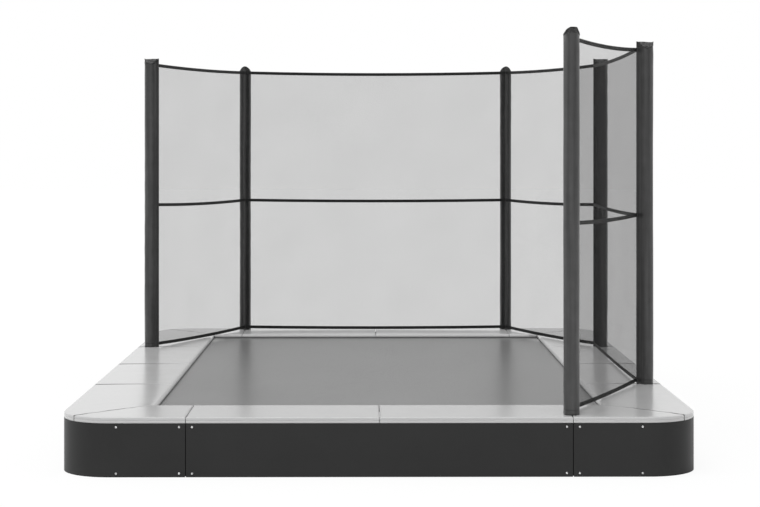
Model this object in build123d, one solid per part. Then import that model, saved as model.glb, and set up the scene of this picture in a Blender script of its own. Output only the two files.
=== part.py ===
from build123d import *
import os

# A rectangular garden trampoline with a low frame, a skirt and a part safety net.
# Millimetres. X is the width, Y the length and Z is up. The origin is on the ground,
# under the centre of the frame, and the front is the short side towards -Y.

# Plan, over the outside of the skirt
outer_width = 3100.0
outer_length = 4300.0
outer_corner_radius = 253.0
clearance = 0.3              # between two pieces that seat on each other

# Perimeter rail: galvanised square tube with formed corners
frame_height = 264.0         # top of the rail above the ground
rail_size = 50.0
rail_edge_radius = 6.0
rail_wall = 2.0
rail_insert_length = 100.0   # joining insert, half of it in each tube
rail_insert_gap = 12.0       # from the insert's end to the nearest bolt's axis

# Legs: posts in welded stubs, standing on welded ground tubes
post_diameter = 42.0
post_wall = 2.0
stub_wall = 2.0
stub_length = 50.0
base_tube_width = 50.0
base_tube_height = 30.0
base_tube_overhang = 45.0    # beyond each post's axis
corner_post_setback = 34.0   # from the start of the corner bend

# Safety net poles
short_side_pole_spacing = 1860.0
long_side_pole_spacing = 1867.0
pole_inset = 82.0            # axis, from the outer edge
pole_diameter = 38.0
pole_wall = 1.5
pole_to_rail_gap = 9.0
sleeve_top = 2164.0          # top of the padded sleeve above the ground
sleeve_diameter = 77.0
sleeve_fabric = 2.0
sleeve_arch_height = 37.0
sleeve_tail = 15.0           # the pinched seam that carries the net
tail_root = 26.0             # the tail's width where it leaves the round sleeve
tail_thickness = 3.0
bead_diameter = 8.0          # the cord sewn into the tail's edge
cap_flange = 4.0
cap_plug_length = 30.0

# Brackets that hold the skirt and the poles
bracket_thickness = 3.0
bracket_margin = 4.0         # inside the skirt's top and bottom edges
pole_bracket_width = 100.0
corner_bracket_width = 40.0
lower_arm_height = 40.0
arm_tab_height = 38.0
tab_bolt_offset = 32.0       # from the pole's axis
spigot_length = 25.0
frame_bolt_diameter = 8.0
frame_bolt_length = 20.0
bolt_hole_play = 0.6         # on the diameter
hexagon_ratio = 1.88         # a hexagon's corners over its thread's diameter
shank_sides = 12             # small round bars are drawn with flat sides

# Skirt
skirt_thickness = 3.0
skirt_ground_gap = 1.0
skirt_joint_gap = 4.0
skirt_bolt_margin = 17.6     # from the top and bottom edges
skirt_bolt_column = 31.0     # from the joint between two panels
skirt_bolt_diameter = 6.0
skirt_bolt_length = 15.0
button_head_diameter = 11.0
button_head_height = 3.0

# Pads
pad_thickness = 22.7
pad_lip_depth = 5.4
pad_lip_thickness = 9.0
pad_gap = 3.0
pad_overlap = 40.0           # over the edge of the jumping mat
pad_pole_play = 2.0

# Springs and jumping mat
spring_length = 215.0        # between the hooks' legs
spring_diameter = 22.0
spring_wire = 3.5
spring_taper = 16.0
spring_pitch = 125.0         # the nearest that divides the mat's side evenly
spring_end_margin = 70.0
hook_neck = 14.0             # from a hook's leg to the coils
hook_drop = 12.0             # from the spring's axis to the hook's tip
slot_width = 8.0             # of the rail's slots for the hooks
slot_height = 6.5
ring_wire = 4.5
ring_tip = 5.0               # inside width of a ring at its tip
ring_width = 36.0
ring_depth = 30.0
mat_level = 262.7            # the jumping surface above the ground
mat_thickness = 2.0
mat_corner_radius = 60.0
hem_width = 45.0
hem_thickness = 2.5
hem_setback = 6.0            # from a ring's base bar out to the mat's edge
loop_width = 18.0
loop_wall = 1.2

# Safety net
net_thickness = 1.2
net_hem = 2.0                # net above the top band and below the bottom one
band_width = 20.0
band_thickness = 1.5
band_levels = {"top": 2117.5, "middle": 1212.5, "bottom": 311.0}
side_sags = {"top": 12.5, "middle": 7.5, "bottom": 7.0}
corner_sags = {"top": 8.0, "middle": 9.0, "bottom": 8.0}
entrance_sags = {"top": 15.0, "middle": 9.0, "bottom": 8.0}

# Derived places, measured inwards from the outer edge
rail_joint_setback = tab_bolt_offset + rail_insert_gap + rail_insert_length / 2
half_width = outer_width / 2
half_length = outer_length / 2
rail_outer_face = pole_inset + pole_diameter / 2 + pole_to_rail_gap
rail_axis = rail_outer_face + rail_size / 2
rail_inner_face = rail_outer_face + rail_size
plate_face = skirt_thickness + clearance
tab_face = rail_outer_face - clearance
post_outer_face = rail_axis - post_diameter / 2
rail_hook = rail_inner_face - rail_wall - clearance - spring_wire / 2
mat_hook = rail_hook + spring_length
hook_to_ring = (spring_wire + ring_wire) / 2 + clearance
ring_apex = mat_hook - hook_to_ring
ring_base = ring_apex + ring_depth
mat_edge = ring_base - hem_setback
pad_width = mat_edge + pad_overlap

# Derived heights
rail_bottom = frame_height - rail_size
rail_level = frame_height - rail_size / 2
pad_bottom = frame_height + clearance
pad_top = pad_bottom + pad_thickness
lip_bottom = pad_bottom - pad_lip_depth
skirt_top = lip_bottom - clearance
spring_level = pad_bottom - clearance - spring_diameter / 2
ring_level = spring_level - hook_to_ring
hem_top = mat_level - mat_thickness - clearance
hem_bottom = hem_top - hem_thickness
upper_arm_height = rail_bottom + bracket_thickness
pole_foot = lower_arm_height + bracket_thickness + clearance
arch_base = sleeve_top - sleeve_arch_height
pole_top = arch_base - cap_flange - clearance

# Poles and posts along a side, from its middle
pole_along = {"short": short_side_pole_spacing / 2, "long": long_side_pole_spacing / 2}
post_along = {
    "short": half_width - outer_corner_radius - corner_post_setback,
    "long": half_length - outer_corner_radius - corner_post_setback,
}
side_kind = {"front": "short", "right": "long", "back": "short", "left": "long"}
side_angle = {"front": 0, "right": 90, "back": 180, "left": 270}
side_distance = {"short": half_length, "long": half_width}


def on_side(side):
    """A side's own place: X runs along it, Y goes inwards from the outer edge, Z is up."""
    distance = side_distance[side_kind[side]]
    return Rot(0, 0, side_angle[side]) * Pos(0, -distance, 0)


def at_corners(shape):
    """The front right corner's piece, and its like at the other three corners."""
    front_left = mirror(shape, about=Plane.YZ)
    return {
        "front_right": shape,
        "front_left": front_left,
        "back_right": mirror(shape, about=Plane.XZ),
        "back_left": mirror(front_left, about=Plane.XZ),
    }


def write(node, shapes):
    """Write one node, whose pieces stay separate solids."""
    solids = [solid for shape in shapes for solid in shape.solids()]
    whole = solids[0] if len(solids) == 1 else Compound(children=solids)
    export_step(whole, f"parts/{node}.step")


def rod(start, end, diameter):
    """A round bar between two points."""
    line = Edge.make_line(start, end)
    return extrude(Plane(origin=start, z_dir=line % 0) * Circle(diameter / 2), line.length)


def tube(start, end, diameter, wall):
    """A round tube between two points."""
    return rod(start, end, diameter) - rod(start, end, diameter - 2 * wall)


def facing(along, inset, level, outwards=False):
    """A plane along a side's outer edge, with its Z pointing inwards, or outwards."""
    z_dir = (0, -1, 0) if outwards else (0, 1, 0)
    return Plane(origin=(along, inset, level), x_dir=(1, 0, 0), z_dir=z_dir)


def prism(plane, diameter, length, sides=shank_sides):
    """A small bar that is drawn with flat sides, by its diameter over the corners."""
    return extrude(plane * RegularPolygon(diameter / 2, sides), length)


def hex_bolt(along, head_inset, level, diameter, length):
    """A hexagon bolt that points inwards, its head seated at head_inset."""
    head = prism(facing(along, head_inset, level, True), hexagon_ratio * diameter, 0.65 * diameter, 6)
    return head + prism(facing(along, head_inset, level), diameter, length)


# ---------------------------------------------------------------- perimeter rail


def rail_section(shrink=0.0):
    """The rail's rounded square, outside or inside its wall."""
    size = rail_size - 2 * shrink
    return RectangleRounded(size, size, rail_edge_radius - shrink)


def spring_places(kind):
    """Where the springs stand along a side, from its middle."""
    mat_side = 2 * (half_width if kind == "short" else half_length) - 2 * mat_edge
    span = mat_side - 2 * spring_end_margin
    gaps = max(1, round(span / spring_pitch))
    return [span * (i / gaps - 0.5) for i in range(gaps + 1)]


def hook_slots(kind):
    """Slots in the rail's inner wall, one for each spring's hook."""
    wall = rail_inner_face - rail_wall / 2
    cut = Box(slot_width, 2 * rail_wall, slot_height)
    return [Pos(x, wall, spring_level) * cut for x in spring_places(kind)]


def tab_bolt_places(kind):
    """Where bolts pass into the rail along a side."""
    pole = pole_along[kind]
    post = post_along[kind]
    right = [pole - tab_bolt_offset, pole + tab_bolt_offset, post]
    return [sign * x for sign in (-1, 1) for x in right]


def rail_bolt_holes(kind):
    """Clearance holes in the rail's outer wall for the brackets' bolts."""
    diameter = frame_bolt_diameter + bolt_hole_play
    outside = rail_outer_face - rail_wall
    inside = rail_outer_face + 2 * rail_wall
    return [
        rod((x, outside, rail_level), (x, inside, rail_level), diameter)
        for x in tab_bolt_places(kind)
    ]


def side_cuts(side):
    """Every hole in the rail along one side."""
    kind = side_kind[side]
    return [on_side(side) * cut for cut in hook_slots(kind) + rail_bolt_holes(kind)]


def corner_line(inset, level, short_end, long_end):
    """A line round the front right corner, parallel to the outer edge."""
    x = half_width - inset
    y = half_length - inset
    points = [(short_end, -y, level), (x, -y, level), (x, -long_end, level)]
    return FilletPolyline(*points, radius=outer_corner_radius - inset)


def stub(along):
    """The socket welded under the rail for a leg's post, in a side's place."""
    top = (along, rail_axis, rail_bottom)
    bottom = (along, rail_axis, rail_bottom - stub_length)
    return tube(bottom, top, post_diameter + 2 * stub_wall + 4 * clearance, stub_wall)


def rail_insert(kind):
    """The low tube welded in a corner rail's right end, which the side rail slides over."""
    half = rail_insert_length / 2
    joint = pole_along[kind] - rail_joint_setback
    floor_level = rail_bottom + rail_wall
    room = rail_size - 2 * rail_wall
    height = spring_level - hook_drop - clearance - floor_level

    def length_of_insert(start, play):
        middle = floor_level + (play + height) / 2
        ends = Plane(origin=(start, rail_axis, middle), z_dir=(1, 0, 0))
        radius = rail_edge_radius - rail_wall - play
        return extrude(ends * RectangleRounded(height - play, room - 2 * play, radius), half)

    welded_half = length_of_insert(joint, 0)
    sliding_half = length_of_insert(joint - half, clearance)
    hollow = Box(3 * half, room - 4 * rail_wall, height - 4 * rail_wall)
    return welded_half + sliding_half - Pos(joint, rail_axis, floor_level + height / 2) * hollow


def corner_rail():
    """One formed corner of the rail, with its two pairs of stubs and its inserts."""
    short_end = pole_along["short"] - rail_joint_setback + clearance / 2
    long_end = pole_along["long"] - rail_joint_setback + clearance / 2
    path = corner_line(rail_axis, rail_level, short_end, long_end)
    place = Plane(origin=path @ 0, z_dir=path % 0)
    outside = sweep(place * rail_section(), path=path)
    inside = sweep(place * rail_section(rail_wall), path=path)
    rail = outside - inside
    rail += on_side("front") * rail_insert("short")
    rail += on_side("right") * mirror(rail_insert("long"), about=Plane.YZ)
    for side, kind, sign in (("front", "short", 1), ("right", "long", -1)):
        for along in (pole_along[kind], post_along[kind]):
            rail += on_side(side) * stub(sign * along)
        rail -= side_cuts(side)
    return rail


def side_rail(side):
    """One straight rail between two corners."""
    kind = side_kind[side]
    length = 2 * (pole_along[kind] - rail_joint_setback) - clearance
    ends = Plane(origin=(-length / 2, rail_axis, rail_level), z_dir=(1, 0, 0))
    rail = extrude(ends * rail_section(), length) - extrude(ends * rail_section(rail_wall), length)
    return on_side(side) * rail - side_cuts(side)


# ---------------------------------------------------------------- legs


def leg_post(along):
    """A post from the ground tube up into its stub."""
    foot = (along, rail_axis, base_tube_height + clearance)
    head = (along, rail_axis, rail_bottom - clearance)
    return tube(foot, head, post_diameter, post_wall)


def leg_base(kind, sign):
    """The ground tube that carries a pair of posts."""
    inner = pole_along[kind] - base_tube_overhang
    outer = post_along[kind] + base_tube_overhang
    start = Plane(origin=(inner, rail_axis, base_tube_height / 2), z_dir=(1, 0, 0))
    end = Plane(origin=(inner + post_wall, rail_axis, base_tube_height / 2), z_dir=(1, 0, 0))
    outline = RectangleRounded(base_tube_height, base_tube_width, 2 * post_wall)
    hollow_height = base_tube_height - 2 * post_wall
    hollow = RectangleRounded(hollow_height, base_tube_width - 2 * post_wall, post_wall)
    length = outer - inner
    base = extrude(start * outline, length) - extrude(end * hollow, length - 2 * post_wall)
    return base if sign > 0 else mirror(base, about=Plane.YZ)


# ---------------------------------------------------------------- brackets and bolts


def skirt_bolt_levels():
    """Heights of the two rows of skirt bolts."""
    return [skirt_ground_gap + skirt_bolt_margin, skirt_top - skirt_bolt_margin]


def bracket(along, width, columns, bolts, holds_pole):
    """A pressed bracket from the skirt back to the rail and to a post."""
    bottom = skirt_ground_gap + bracket_margin
    top = skirt_top - bracket_margin
    plate_back = plate_face + bracket_thickness
    post_tab = post_outer_face - clearance - bracket_thickness
    rail_tab = tab_face - bracket_thickness

    def slab(width_x, inset_0, inset_1, level_0, level_1):
        box = Box(width_x, inset_1 - inset_0, level_1 - level_0)
        return Pos(0, (inset_0 + inset_1) / 2, (level_0 + level_1) / 2) * box

    upper = upper_arm_height
    lower = lower_arm_height
    body = slab(width, plate_face, plate_back, bottom, top)
    body += slab(width, plate_back, tab_face, upper, upper + bracket_thickness)
    body += slab(width, rail_tab, tab_face, upper, upper + arm_tab_height)
    foot_width = corner_bracket_width
    post_face = post_tab + bracket_thickness
    body += slab(width, plate_back, post_tab, lower, lower + bracket_thickness)
    body += slab(foot_width, post_tab, post_face, lower, lower + arm_tab_height)
    if holds_pole:
        hole = pole_diameter + 2 * clearance
        under = (0, pole_inset, upper - bracket_thickness)
        body -= rod(under, (0, pole_inset, upper + 2 * bracket_thickness), hole)
        spigot = pole_diameter - 2 * pole_wall - 2 * clearance
        floor_level = lower + bracket_thickness
        body += rod((0, pole_inset, floor_level), (0, pole_inset, floor_level + spigot_length), spigot)
    play = bolt_hole_play
    for x in columns:
        for level in skirt_bolt_levels():
            before = (x, plate_face - bracket_thickness, level)
            behind = (x, plate_back + bracket_thickness, level)
            body -= rod(before, behind, skirt_bolt_diameter + play)
    for x in bolts:
        before = (x, rail_tab - bracket_thickness, rail_level)
        body -= rod(before, (x, rail_outer_face, rail_level), frame_bolt_diameter + play)
    level = post_bolt_level()
    before = (0, post_tab - bracket_thickness, level)
    body -= rod(before, (0, post_outer_face, level), frame_bolt_diameter + play)
    return Pos(along, 0, 0) * body


def post_bolt_level():
    """Height of the bolt from a bracket into its post."""
    return lower_arm_height + bracket_thickness + arm_tab_height / 2


def pole_bracket(along):
    """The wide bracket at a pole, behind the joint of two skirt panels."""
    columns = [-skirt_bolt_column, skirt_bolt_column]
    bolts = [-tab_bolt_offset, tab_bolt_offset]
    return bracket(along, pole_bracket_width, columns, bolts, True)


def corner_bracket(along):
    """The narrow bracket beside a corner."""
    return bracket(along, corner_bracket_width, [0], [0], False)


def post_bolt_hole(along):
    """The clearance hole in a post's outer wall."""
    level = post_bolt_level()
    before = (along, post_outer_face - post_wall, level)
    behind = (along, post_outer_face + post_diameter / 4, level)
    return rod(before, behind, frame_bolt_diameter + bolt_hole_play)


def bracket_bolts(kind):
    """The bolts of one side's brackets, into the rail and the posts."""
    rail_tab = tab_face - bracket_thickness - clearance
    post_tab = post_outer_face - bracket_thickness - 2 * clearance
    bolts = [
        hex_bolt(x, rail_tab, rail_level, frame_bolt_diameter, frame_bolt_length)
        for x in tab_bolt_places(kind)
    ]
    for sign in (-1, 1):
        for along in (pole_along[kind], post_along[kind]):
            place = (sign * along, post_tab, post_bolt_level())
            bolts.append(hex_bolt(*place, frame_bolt_diameter, frame_bolt_length))
    return bolts


# ---------------------------------------------------------------- skirt


def skirt_bolt_places(kind):
    """Where skirt bolts stand along a side."""
    pole = pole_along[kind]
    right = [pole - skirt_bolt_column, pole + skirt_bolt_column, post_along[kind]]
    return [sign * x for sign in (-1, 1) for x in right]


def skirt_bolt_holes(side):
    """The holes through the skirt along one side."""
    diameter = skirt_bolt_diameter + bolt_hole_play
    holes = []
    for x in skirt_bolt_places(side_kind[side]):
        for level in skirt_bolt_levels():
            before = (x, -skirt_thickness, level)
            holes.append(on_side(side) * rod(before, (x, 2 * skirt_thickness, level), diameter))
    return holes


def side_skirt(side):
    """A straight skirt panel."""
    length = 2 * pole_along[side_kind[side]] - skirt_joint_gap
    height = skirt_top - skirt_ground_gap
    middle = Pos(0, skirt_thickness / 2, skirt_ground_gap + height / 2)
    panel = middle * Box(length, skirt_thickness, height)
    return on_side(side) * panel - skirt_bolt_holes(side)


def corner_skirt():
    """A skirt panel bent round the front right corner."""
    height = skirt_top - skirt_ground_gap
    level = skirt_ground_gap + height / 2
    short_end = pole_along["short"] + skirt_joint_gap / 2
    long_end = pole_along["long"] + skirt_joint_gap / 2
    path = corner_line(skirt_thickness / 2, level, short_end, long_end)
    place = Plane(origin=path @ 0, x_dir=(0, 1, 0), z_dir=path % 0)
    panel = sweep(place * Rectangle(skirt_thickness, height), path=path)
    return panel - skirt_bolt_holes("front") - skirt_bolt_holes("right")


def skirt_bolt(along, level):
    """A round-headed bolt through the skirt and its bracket."""
    seat = -clearance
    sides = 2 * shank_sides
    rim = facing(along, seat, level, True) * RegularPolygon(button_head_diameter / 2, sides)
    crown = facing(along, seat - button_head_height, level, True)
    crown = crown * RegularPolygon(button_head_diameter / 2 - button_head_height / 2, sides)
    head = loft([rim, crown], ruled=True)
    return head + prism(facing(along, seat, level), skirt_bolt_diameter, skirt_bolt_length)


def skirt_nut(along, level):
    """A hexagon nut behind the bracket."""
    place = facing(along, plate_face + bracket_thickness + clearance, level)
    height = 0.8 * skirt_bolt_diameter
    nut = prism(place, hexagon_ratio * skirt_bolt_diameter, height, 6)
    return nut - prism(place, skirt_bolt_diameter + 2 * clearance, height)


def skirt_fasteners(maker):
    """One fastener for each hole in the skirt, all round."""
    return [
        on_side(side) * maker(x, level)
        for side in side_kind
        for x in skirt_bolt_places(side_kind[side])
        for level in skirt_bolt_levels()
    ]


# ---------------------------------------------------------------- pads


def quarter_pads(round_poles):
    """The four pads of the front right quarter, mitred at the corner."""
    outer = RectangleRounded(outer_width, outer_length, outer_corner_radius)
    opening = Rectangle(outer_width - 2 * pad_width, outer_length - 2 * pad_width)
    lip_size = (outer_width - 2 * pad_lip_thickness, outer_length - 2 * pad_lip_thickness)
    lip_inside = RectangleRounded(*lip_size, outer_corner_radius - pad_lip_thickness)
    gap = pad_gap / 2
    short_pole = pole_along["short"]
    long_pole = pole_along["long"]
    x_in = half_width - pad_width
    y_in = half_length - pad_width
    mitre = gap * 2 ** 0.5
    plans = {
        "front": [(gap, -half_length), (short_pole - gap, -half_length),
                  (short_pole - gap, -y_in), (gap, -y_in)],
        "front_corner": [(short_pole + gap, -half_length), (half_width - mitre, -half_length),
                         (x_in - mitre, -y_in), (short_pole + gap, -y_in)],
        "right_corner": [(half_width, -half_length + mitre), (half_width, -long_pole - gap),
                         (x_in, -long_pole - gap), (x_in, -y_in + mitre)],
        "right": [(half_width, -long_pole + gap), (half_width, -gap),
                  (x_in, -gap), (x_in, -long_pole + gap)],
    }
    notch = Circle(pole_diameter / 2 + pad_pole_play)
    notches = [
        Pos(short_pole, -half_length + pole_inset) * notch,
        Pos(half_width - pole_inset, -long_pole) * notch,
    ]
    pads = {}
    for name, corners in plans.items():
        plan = make_face(Polyline(*corners, close=True))
        cushion_plan = (outer - opening) & plan
        if round_poles:
            cushion_plan -= notches
        lip_plan = (outer - lip_inside) & plan
        cushion = extrude(Pos(0, 0, pad_bottom) * cushion_plan, pad_thickness)
        lip = extrude(Pos(0, 0, lip_bottom) * lip_plan, pad_lip_depth)
        pads[name] = cushion + lip
    return pads


def pad_nodes():
    """Every pad, grouped by side and by corner. The front left quarter has no poles."""
    copies = {name: at_corners(pad) for name, pad in quarter_pads(True).items()}
    for name, pad in quarter_pads(False).items():
        copies[name]["front_left"] = at_corners(pad)["front_left"]
    front = copies["front"]
    right = copies["right"]
    nodes = {
        "pads_front": [front["front_left"], front["front_right"]],
        "pads_back": [front["back_left"], front["back_right"]],
        "pads_left": [right["front_left"], right["back_left"]],
        "pads_right": [right["front_right"], right["back_right"]],
    }
    for corner in copies["front_corner"]:
        halves = [copies["front_corner"][corner], copies["right_corner"][corner]]
        nodes[f"pads_{corner}_corner"] = halves
    return nodes


# ---------------------------------------------------------------- springs and jumping mat


def spring(along):
    """A tapered coil spring, drawn as its envelope, with a formed hook at each end."""
    start = rail_hook + hook_neck
    end = mat_hook - hook_neck
    stations = [
        (start, spring_wire), (start + spring_taper, spring_diameter),
        (end - spring_taper, spring_diameter), (end, spring_wire),
    ]
    sections = [
        facing(0, inset, 0) * RegularPolygon(diameter / 2, shank_sides) for inset, diameter in stations
    ]
    coils = loft(sections, ruled=True)
    half = spring_wire / 2
    hook = Polyline(
        (-half, -hook_drop), (half, -hook_drop), (half, -half), (hook_neck + half, -half),
        (hook_neck + half, half), (0, half), (-half, 0), close=True,
    )
    hook = extrude(Plane.YZ * make_face(hook), half, both=True)
    rail_end = Pos(0, rail_hook, 0) * hook
    mat_end = Pos(0, mat_hook, 0) * mirror(hook, about=Plane.XZ)
    return Pos(along, 0, spring_level) * (coils + rail_end + mat_end)


def mat_ring(along):
    """The triangular ring that a spring hooks into, lying level."""
    tip = ring_tip / 2
    base = ring_width / 2
    start = ring_apex + ring_wire / 2
    end = ring_base - ring_wire / 2
    inside = make_face(Polyline((-tip, start), (tip, start), (base, end), (-base, end), close=True))
    outside = offset(inside, ring_wire, kind=Kind.INTERSECTION)
    bottom = ring_level - ring_wire / 2
    return Pos(along, 0, bottom) * extrude(outside - inside, ring_wire)


def mat_loop(along):
    """The webbing loop that holds a ring's base bar under the mat's edge."""
    room = ring_wire + 2 * clearance
    thickness = room + 2 * loop_wall
    bottom = ring_level - thickness / 2
    loop = Box(loop_width, thickness, hem_bottom - bottom, align=(Align.CENTER, Align.CENTER, Align.MIN))
    bar = Pos(0, 0, ring_level - bottom) * Box(loop_width, room, room)
    return Pos(along, ring_base, bottom) * (loop - bar)


def round_plan(inset, radius):
    """A rounded rectangle, inset all round from the outer edge."""
    return RectangleRounded(outer_width - 2 * inset, outer_length - 2 * inset, radius)


def jumping_mat():
    """The woven jumping surface."""
    plan = round_plan(mat_edge, mat_corner_radius)
    return extrude(Pos(0, 0, mat_level - mat_thickness) * plan, mat_thickness)


def mat_hem():
    """The webbing under the mat's edge, with its loops."""
    inside = Rectangle(
        outer_width - 2 * (mat_edge + hem_width), outer_length - 2 * (mat_edge + hem_width)
    )
    plan = round_plan(mat_edge, mat_corner_radius) - inside
    hem = extrude(Pos(0, 0, hem_bottom) * plan, hem_thickness)
    loops = []
    for side, kind in side_kind.items():
        loops += [on_side(side) * mat_loop(x) for x in spring_places(kind)]
    return hem.fuse(*loops)


# ---------------------------------------------------------------- poles and their sleeves


net_poles = {
    "front_right": ("front", 1),
    "right_front": ("right", -1),
    "right_back": ("right", 1),
    "back_right": ("back", -1),
    "back_left": ("back", 1),
    "left_back": ("left", -1),
}


def at_pole(name):
    """A pole's own place: Y goes inwards from its axis."""
    side, sign = net_poles[name]
    return on_side(side) * Pos(sign * pole_along[side_kind[side]], pole_inset, 0)


def pole():
    """The steel tube."""
    return tube((0, 0, pole_foot), (0, 0, pole_top), pole_diameter, pole_wall)


def pole_cap():
    """The plastic plug in a pole's top."""
    inside = pole_diameter - 2 * pole_wall - 2 * clearance
    plug = rod((0, 0, pole_top - cap_plug_length), (0, 0, pole_top + clearance), inside)
    flange = rod((0, 0, pole_top + clearance), (0, 0, pole_top + cap_flange), pole_diameter)
    return plug + flange


def pole_foam():
    """The foam tube round a pole."""
    outside = sleeve_diameter - 2 * sleeve_fabric - 2 * clearance
    wall = (outside - pole_diameter) / 2 - clearance
    bottom = pad_top + clearance + sleeve_fabric
    return tube((0, 0, bottom), (0, 0, pole_top - clearance), outside, wall)


def sleeve_outline(bottom):
    """The sleeve seen along its tail: straight sides under a pointed arch."""
    radius = sleeve_diameter / 2
    slope = 1.5 * sleeve_arch_height / radius
    feet = (-radius, arch_base), (radius, arch_base)
    arch = Spline(feet[0], (0, sleeve_top), feet[1], tangents=[(1, slope), (1, -slope)])
    sides = Polyline(feet[0], (-radius, bottom), (radius, bottom), feet[1])
    return make_face([arch, sides])


def pole_sleeve():
    """The fabric sleeve, closed by an arch at the top, with the beaded tail that holds the net."""
    bottom = pad_top + clearance
    radius = sleeve_diameter / 2
    half_root = tail_root / 2
    root = (radius ** 2 - half_root ** 2) ** 0.5
    half_tail = tail_thickness / 2
    flank = (half_root, root), (half_tail, net_line())
    mirrored = (-half_tail, net_line()), (-half_root, root)
    plan = Circle(radius) + make_face(Polyline((0, 0), *flank, *mirrored, close=True))
    plan += Pos(0, net_line()) * Circle(bead_diameter / 2)
    outside = extrude(Pos(0, 0, bottom) * plan, sleeve_top - bottom)
    outside &= extrude(Plane.XZ * sleeve_outline(bottom), radius + sleeve_tail, both=True)
    inside_diameter = sleeve_diameter - 2 * sleeve_fabric
    inside = rod((0, 0, bottom + sleeve_fabric), (0, 0, arch_base), inside_diameter)
    pole_hole = rod((0, 0, bottom), (0, 0, arch_base), pole_diameter + 2 * clearance)
    return outside - inside - pole_hole


def net_line():
    """How far inside a pole's axis the net is sewn to the bead along the tail."""
    return sleeve_diameter / 2 + sleeve_tail - bead_diameter / 2


# ---------------------------------------------------------------- safety net


net_spans = {
    "net_front_right_corner": ("front_right", "right_front"),
    "net_right_side": ("right_front", "right_back"),
    "net_back_right_corner": ("right_back", "back_right"),
    "net_back_side": ("back_right", "back_left"),
    "net_back_left_corner": ("back_left", "left_back"),
}
net_sags = {
    "net_front_right_corner": entrance_sags,
    "net_right_side": side_sags,
    "net_back_right_corner": corner_sags,
    "net_back_side": side_sags,
    "net_back_left_corner": corner_sags,
}


def span_ends(span):
    """The two points on the ground that a net span runs between."""
    return [(at_pole(name) * Pos(0, net_line(), 0)).position for name in net_spans[span]]


def span_plane(span):
    """A span's upright plane at its middle: X runs along it, and Z points outwards."""
    start, end = span_ends(span)
    along = (end - start).normalized()
    return Plane(origin=(start + end) / 2, x_dir=along, z_dir=along.cross(Vector(0, 0, 1)))


def sagging_line(half, level, sag):
    """An edge between two poles that hangs a little in the middle."""
    return ThreePointArc((-half, level), (0, level - sag), (half, level))


def sagging_strip(span, low, high, near, far):
    """An upright strip between two sagging edges, from near to far outside the net's plane."""
    start, end = span_ends(span)
    half = (end - start).length / 2 - bead_diameter / 2 - clearance
    bottom = sagging_line(half, *low)
    top = sagging_line(half, *high)
    ends = [Line(bottom @ 0, top @ 0), Line(bottom @ 1, top @ 1)]
    plane = span_plane(span).offset(near)
    return extrude(plane * make_face([bottom, top] + ends), far - near)


def net_panel(span):
    """The net between two poles, from its lower hem to its upper one."""
    margin = band_width / 2 + net_hem
    low = (band_levels["bottom"] - margin, net_sags[span]["bottom"])
    high = (band_levels["top"] + margin, net_sags[span]["top"])
    return sagging_strip(span, low, high, -net_thickness / 2, net_thickness / 2)


def net_band(span, place):
    """A webbing band sewn along the net's inner face."""
    level = band_levels[place]
    sag = net_sags[span][place]
    far = -net_thickness / 2 - clearance
    low = (level - band_width / 2, sag)
    high = (level + band_width / 2, sag)
    return sagging_strip(span, low, high, far - band_thickness, far)


# ---------------------------------------------------------------- the whole trampoline

os.makedirs("parts", exist_ok=True)

for corner, rail in at_corners(corner_rail()).items():
    write(f"rail_corner_{corner}", [rail])
for corner, panel in at_corners(corner_skirt()).items():
    write(f"skirt_corner_{corner}", [panel])
for side in side_kind:
    write(f"rail_{side}", [side_rail(side)])
    write(f"skirt_{side}", [side_skirt(side)])
    springs = [on_side(side) * spring(x) for x in spring_places(side_kind[side])]
    write(f"springs_{side}", springs)

posts = []
bases = []
pole_brackets = []
corner_brackets = []
frame_bolts = []
rings = []
for side, kind in side_kind.items():
    place = on_side(side)
    for sign in (-1, 1):
        for along in (sign * pole_along[kind], sign * post_along[kind]):
            posts.append(place * (leg_post(along) - post_bolt_hole(along)))
        bases.append(place * leg_base(kind, sign))
        pole_brackets.append(place * pole_bracket(sign * pole_along[kind]))
        corner_brackets.append(place * corner_bracket(sign * post_along[kind]))
    frame_bolts += [place * bolt for bolt in bracket_bolts(kind)]
    rings += [place * mat_ring(x) for x in spring_places(kind)]
write("leg_posts", posts)
write("leg_bases", bases)
write("pole_brackets", pole_brackets)
write("corner_brackets", corner_brackets)
write("bracket_bolts", frame_bolts)
write("skirt_bolts", skirt_fasteners(skirt_bolt))
write("skirt_nuts", skirt_fasteners(skirt_nut))
write("mat_rings", rings)
write("jumping_mat", [jumping_mat()])
write("mat_hem", [mat_hem()])

for node, pads in pad_nodes().items():
    write(node, pads)

for name in net_poles:
    write(f"pole_{name}", [at_pole(name) * pole()])
write("pole_caps", [at_pole(name) * pole_cap() for name in net_poles])
write("pole_foam", [at_pole(name) * pole_foam() for name in net_poles])
write("pole_sleeves", [at_pole(name) * pole_sleeve() for name in net_poles])

for span in net_spans:
    write(span, [net_panel(span)])
for place in band_levels:
    write(f"net_band_{place}", [net_band(span, place) for span in net_spans])
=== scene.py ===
from collections import namedtuple
from functools import partial
from math import cos, hypot, pi, radians, sin

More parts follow.
